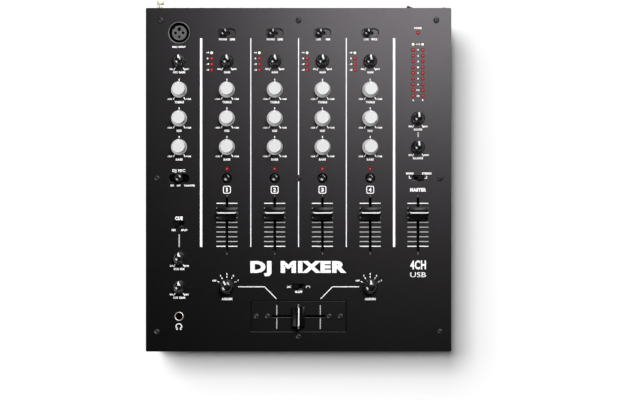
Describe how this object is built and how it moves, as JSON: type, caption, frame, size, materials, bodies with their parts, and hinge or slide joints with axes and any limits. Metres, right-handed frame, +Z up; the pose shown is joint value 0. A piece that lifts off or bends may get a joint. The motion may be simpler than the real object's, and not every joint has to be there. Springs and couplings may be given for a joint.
{
  "type": "dj mixer",
  "caption": "Flat tabletop DJ mixer: channel strips of rotary knobs and upright faders, a recessed crossfader plate, a lamp meter and a rear socket panel.",
  "frame": {"origin": "middle of the whole footprint, rear sockets included, on the plane the feet stand on", "axes": "+X to the user's right, +Y towards the rear sockets, +Z up"},
  "size_m": [0.32, 0.375, 0.105],
  "materials": {
    "panel_paint": "fine-textured black powder coat",
    "case_paint": "fine-textured black powder coat",
    "plate_paint": "satin black paint",
    "dark_screw": "black-oxide steel",
    "foot_rubber": "matte moulded rubber",
    "circuit_board": "green solder mask",
    "control_metal": "plated steel",
    "switch_plastic": "moulded plastic",
    "lamp_lens": "tinted clear lens",
    "socket_metal": "satin nickel plate",
    "socket_plastic": "black moulded plastic",
    "plated_brass": "nickel-plated brass",
    "tone_knob": "pale grey satin plastic",
    "black_knob": "glossy black plastic with a white pointer",
    "fader_cap": "satin black plastic with a white line",
    "lever_plastic": "satin black plastic",
    "button_plastic": "smoked glossy plastic"
  },
  "bodies": {
    "chassis": {"top_panel": "panel_paint", "base_pan": "case_paint", "rear_panel": "case_paint", "crossfader_plate": "plate_paint", "case_screws": "dark_screw", "rubber_feet": "foot_rubber", "circuit_boards": "circuit_board", "pot_bodies": "control_metal", "fader_frames": "control_metal", "switch_bodies": "switch_plastic", "indicator_lamps": "lamp_lens", "panel_sockets": "socket_metal", "rear_sockets": "socket_plastic", "power_inlet": "socket_plastic", "ground_terminal": "plated_brass"},
    "crossfader": {"crossfader": "fader_cap"},
    "fader_ch1": {"fader_ch1": "fader_cap"},
    "fader_ch2": {"fader_ch2": "fader_cap"},
    "fader_ch3": {"fader_ch3": "fader_cap"},
    "fader_ch4": {"fader_ch4": "fader_cap"},
    "fader_master": {"fader_master": "fader_cap"},
    "toggle_ch1": {"toggle_ch1": "lever_plastic"},
    "toggle_ch2": {"toggle_ch2": "lever_plastic"},
    "toggle_ch3": {"toggle_ch3": "lever_plastic"},
    "toggle_ch4": {"toggle_ch4": "lever_plastic"},
    "toggle_mic": {"toggle_mic": "lever_plastic"},
    "cue_split_switch": {"cue_split_switch": "lever_plastic"},
    "mono_stereo_switch": {"mono_stereo_switch": "lever_plastic"},
    "slope_switch": {"slope_switch": "lever_plastic"},
    "cue_button_1": {"cue_button_1": "button_plastic"},
    "cue_button_2": {"cue_button_2": "button_plastic"},
    "cue_button_3": {"cue_button_3": "button_plastic"},
    "cue_button_4": {"cue_button_4": "button_plastic"},
    "power_rocker": {"power_rocker": "lever_plastic"},
    "knob_assign_left": {"knob_assign_left": "black_knob"},
    "knob_assign_right": {"knob_assign_right": "black_knob"},
    "knob_mic_gain": {"knob_mic_gain": "black_knob"},
    "knob_ch1_gain": {"knob_ch1_gain": "black_knob"},
    "knob_ch1_treble": {"knob_ch1_treble": "tone_knob"},
    "knob_ch1_mid": {"knob_ch1_mid": "tone_knob"},
    "knob_ch1_bass": {"knob_ch1_bass": "tone_knob"},
    "knob_cue_mix": {"knob_cue_mix": "black_knob"},
    "knob_booth_level": {"knob_booth_level": "black_knob"},
    "knob_mic_treble": {"knob_mic_treble": "tone_knob"},
    "knob_mic_mid": {"knob_mic_mid": "tone_knob"},
    "knob_mic_bass": {"knob_mic_bass": "tone_knob"},
    "knob_ch2_gain": {"knob_ch2_gain": "black_knob"},
    "knob_ch2_treble": {"knob_ch2_treble": "tone_knob"},
    "knob_ch2_mid": {"knob_ch2_mid": "tone_knob"},
    "knob_ch2_bass": {"knob_ch2_bass": "tone_knob"},
    "knob_ch3_gain": {"knob_ch3_gain": "black_knob"},
    "knob_ch3_treble": {"knob_ch3_treble": "tone_knob"},
    "knob_ch3_mid": {"knob_ch3_mid": "tone_knob"},
    "knob_ch3_bass": {"knob_ch3_bass": "tone_knob"},
    "knob_ch4_gain": {"knob_ch4_gain": "black_knob"},
    "knob_ch4_treble": {"knob_ch4_treble": "tone_knob"},
    "knob_ch4_mid": {"knob_ch4_mid": "tone_knob"},
    "knob_ch4_bass": {"knob_ch4_bass": "tone_knob"},
    "knob_balance": {"knob_balance": "black_knob"},
    "knob_cue_gain": {"knob_cue_gain": "black_knob"}
  },
  "joints": [
    {"name": "crossfader_slide", "type": "slide", "parent": "chassis", "child": "crossfader", "axis": [1, 0, 0], "range_m": [-0.0225, 0.0225]},
    {"name": "fader_ch1_slide", "type": "slide", "parent": "chassis", "child": "fader_ch1", "axis": [0, 1, 0], "range_m": [-0.0342, 0.0108]},
    {"name": "fader_ch2_slide", "type": "slide", "parent": "chassis", "child": "fader_ch2", "axis": [0, 1, 0], "range_m": [-0.0342, 0.0108]},
    {"name": "fader_ch3_slide", "type": "slide", "parent": "chassis", "child": "fader_ch3", "axis": [0, 1, 0], "range_m": [-0.0342, 0.0108]},
    {"name": "fader_ch4_slide", "type": "slide", "parent": "chassis", "child": "fader_ch4", "axis": [0, 1, 0], "range_m": [-0.0342, 0.0108]},
    {"name": "fader_master_slide", "type": "slide", "parent": "chassis", "child": "fader_master", "axis": [0, 1, 0], "range_m": [-0.0342, 0.0108]},
    {"name": "toggle_ch1_flip", "type": "hinge", "parent": "chassis", "child": "toggle_ch1", "pos_m": [-0.075, 0.1465, 0.081], "axis": [0, 1, 0], "range_deg": [0, 20]},
    {"name": "toggle_ch2_flip", "type": "hinge", "parent": "chassis", "child": "toggle_ch2", "pos_m": [-0.025, 0.1465, 0.081], "axis": [0, 1, 0], "range_deg": [0, 20]},
    {"name": "toggle_ch3_flip", "type": "hinge", "parent": "chassis", "child": "toggle_ch3", "pos_m": [0.025, 0.1465, 0.081], "axis": [0, 1, 0], "range_deg": [0, 20]},
    {"name": "toggle_ch4_flip", "type": "hinge", "parent": "chassis", "child": "toggle_ch4", "pos_m": [0.075, 0.1465, 0.081], "axis": [0, 1, 0], "range_deg": [0, 20]},
    {"name": "toggle_mic_flip", "type": "hinge", "parent": "chassis", "child": "toggle_mic", "pos_m": [-0.125, -0.0061, 0.081], "axis": [0, 1, 0], "range_deg": [-10, 10]},
    {"name": "cue_split_slide", "type": "slide", "parent": "chassis", "child": "cue_split_switch", "axis": [1, 0, 0], "range_m": [0, 0.005]},
    {"name": "mono_stereo_slide", "type": "slide", "parent": "chassis", "child": "mono_stereo_switch", "axis": [1, 0, 0], "range_m": [-0.005, 0]},
    {"name": "slope_slide", "type": "slide", "parent": "chassis", "child": "slope_switch", "axis": [1, 0, 0], "range_m": [0, 0.005]},
    {"name": "cue_button_1_press", "type": "slide", "parent": "chassis", "child": "cue_button_1", "axis": [0, 0, -1], "range_m": [0, 0.0015], "stiffness_N_per_m": 400, "springref_m": -0.002},
    {"name": "cue_button_2_press", "type": "slide", "parent": "chassis", "child": "cue_button_2", "axis": [0, 0, -1], "range_m": [0, 0.0015], "stiffness_N_per_m": 400, "springref_m": -0.002},
    {"name": "cue_button_3_press", "type": "slide", "parent": "chassis", "child": "cue_button_3", "axis": [0, 0, -1], "range_m": [0, 0.0015], "stiffness_N_per_m": 400, "springref_m": -0.002},
    {"name": "cue_button_4_press", "type": "slide", "parent": "chassis", "child": "cue_button_4", "axis": [0, 0, -1], "range_m": [0, 0.0015], "stiffness_N_per_m": 400, "springref_m": -0.002},
    {"name": "power_rocker_flip", "type": "hinge", "parent": "chassis", "child": "power_rocker", "pos_m": [0.123, 0.1725, 0.072], "axis": [0, 0, 1], "range_deg": [0, 20]},
    {"name": "knob_assign_left_turn", "type": "hinge", "parent": "chassis", "child": "knob_assign_left", "pos_m": [-0.075, -0.1195, 0.093], "axis": [0, 0, 1], "range_deg": [-90, 30]},
    {"name": "knob_assign_right_turn", "type": "hinge", "parent": "chassis", "child": "knob_assign_right", "pos_m": [0.075, -0.1195, 0.093], "axis": [0, 0, 1], "range_deg": [-60, 60]},
    {"name": "knob_mic_gain_turn", "type": "hinge", "parent": "chassis", "child": "knob_mic_gain", "pos_m": [-0.125, 0.1165, 0.093], "axis": [0, 0, 1], "range_deg": [-150, 150]},
    {"name": "knob_ch1_gain_turn", "type": "hinge", "parent": "chassis", "child": "knob_ch1_gain", "pos_m": [-0.075, 0.1165, 0.093], "axis": [0, 0, 1], "range_deg": [-150, 150]},
    {"name": "knob_ch1_treble_turn", "type": "hinge", "parent": "chassis", "child": "knob_ch1_treble", "pos_m": [-0.075, 0.0865, 0.093], "axis": [0, 0, 1], "range_deg": [-150, 150]},
    {"name": "knob_ch1_mid_turn", "type": "hinge", "parent": "chassis", "child": "knob_ch1_mid", "pos_m": [-0.075, 0.0565, 0.093], "axis": [0, 0, 1], "range_deg": [-150, 150]},
    {"name": "knob_ch1_bass_turn", "type": "hinge", "parent": "chassis", "child": "knob_ch1_bass", "pos_m": [-0.075, 0.0265, 0.093], "axis": [0, 0, 1], "range_deg": [-150, 150]},
    {"name": "knob_cue_mix_turn", "type": "hinge", "parent": "chassis", "child": "knob_cue_mix", "pos_m": [-0.125, -0.0895, 0.093], "axis": [0, 0, 1], "range_deg": [-150, 150]},
    {"name": "knob_booth_level_turn", "type": "hinge", "parent": "chassis", "child": "knob_booth_level", "pos_m": [0.125, 0.0565, 0.093], "axis": [0, 0, 1], "range_deg": [-150, 150]},
    {"name": "knob_mic_treble_turn", "type": "hinge", "parent": "chassis", "child": "knob_mic_treble", "pos_m": [-0.125, 0.0865, 0.093], "axis": [0, 0, 1], "range_deg": [-150, 150]},
    {"name": "knob_mic_mid_turn", "type": "hinge", "parent": "chassis", "child": "knob_mic_mid", "pos_m": [-0.125, 0.0565, 0.093], "axis": [0, 0, 1], "range_deg": [-150, 150]},
    {"name": "knob_mic_bass_turn", "type": "hinge", "parent": "chassis", "child": "knob_mic_bass", "pos_m": [-0.125, 0.0265, 0.093], "axis": [0, 0, 1], "range_deg": [-150, 150]},
    {"name": "knob_ch2_gain_turn", "type": "hinge", "parent": "chassis", "child": "knob_ch2_gain", "pos_m": [-0.025, 0.1165, 0.093], "axis": [0, 0, 1], "range_deg": [-150, 150]},
    {"name": "knob_ch2_treble_turn", "type": "hinge", "parent": "chassis", "child": "knob_ch2_treble", "pos_m": [-0.025, 0.0865, 0.093], "axis": [0, 0, 1], "range_deg": [-150, 150]},
    {"name": "knob_ch2_mid_turn", "type": "hinge", "parent": "chassis", "child": "knob_ch2_mid", "pos_m": [-0.025, 0.0565, 0.093], "axis": [0, 0, 1], "range_deg": [-150, 150]},
    {"name": "knob_ch2_bass_turn", "type": "hinge", "parent": "chassis", "child": "knob_ch2_bass", "pos_m": [-0.025, 0.0265, 0.093], "axis": [0, 0, 1], "range_deg": [-150, 150]},
    {"name": "knob_ch3_gain_turn", "type": "hinge", "parent": "chassis", "child": "knob_ch3_gain", "pos_m": [0.025, 0.1165, 0.093], "axis": [0, 0, 1], "range_deg": [-150, 150]},
    {"name": "knob_ch3_treble_turn", "type": "hinge", "parent": "chassis", "child": "knob_ch3_treble", "pos_m": [0.025, 0.0865, 0.093], "axis": [0, 0, 1], "range_deg": [-150, 150]},
    {"name": "knob_ch3_mid_turn", "type": "hinge", "parent": "chassis", "child": "knob_ch3_mid", "pos_m": [0.025, 0.0565, 0.093], "axis": [0, 0, 1], "range_deg": [-150, 150]},
    {"name": "knob_ch3_bass_turn", "type": "hinge", "parent": "chassis", "child": "knob_ch3_bass", "pos_m": [0.025, 0.0265, 0.093], "axis": [0, 0, 1], "range_deg": [-150, 150]},
    {"name": "knob_ch4_gain_turn", "type": "hinge", "parent": "chassis", "child": "knob_ch4_gain", "pos_m": [0.075, 0.1165, 0.093], "axis": [0, 0, 1], "range_deg": [-150, 150]},
    {"name": "knob_ch4_treble_turn", "type": "hinge", "parent": "chassis", "child": "knob_ch4_treble", "pos_m": [0.075, 0.0865, 0.093], "axis": [0, 0, 1], "range_deg": [-150, 150]},
    {"name": "knob_ch4_mid_turn", "type": "hinge", "parent": "chassis", "child": "knob_ch4_mid", "pos_m": [0.075, 0.0565, 0.093], "axis": [0, 0, 1], "range_deg": [-150, 150]},
    {"name": "knob_ch4_bass_turn", "type": "hinge", "parent": "chassis", "child": "knob_ch4_bass", "pos_m": [0.075, 0.0265, 0.093], "axis": [0, 0, 1], "range_deg": [-150, 150]},
    {"name": "knob_balance_turn", "type": "hinge", "parent": "chassis", "child": "knob_balance", "pos_m": [0.125, 0.0265, 0.093], "axis": [0, 0, 1], "range_deg": [-150, 150]},
    {"name": "knob_cue_gain_turn", "type": "hinge", "parent": "chassis", "child": "knob_cue_gain", "pos_m": [-0.125, -0.1195, 0.093], "axis": [0, 0, 1], "range_deg": [-150, 150]}
  ]
}
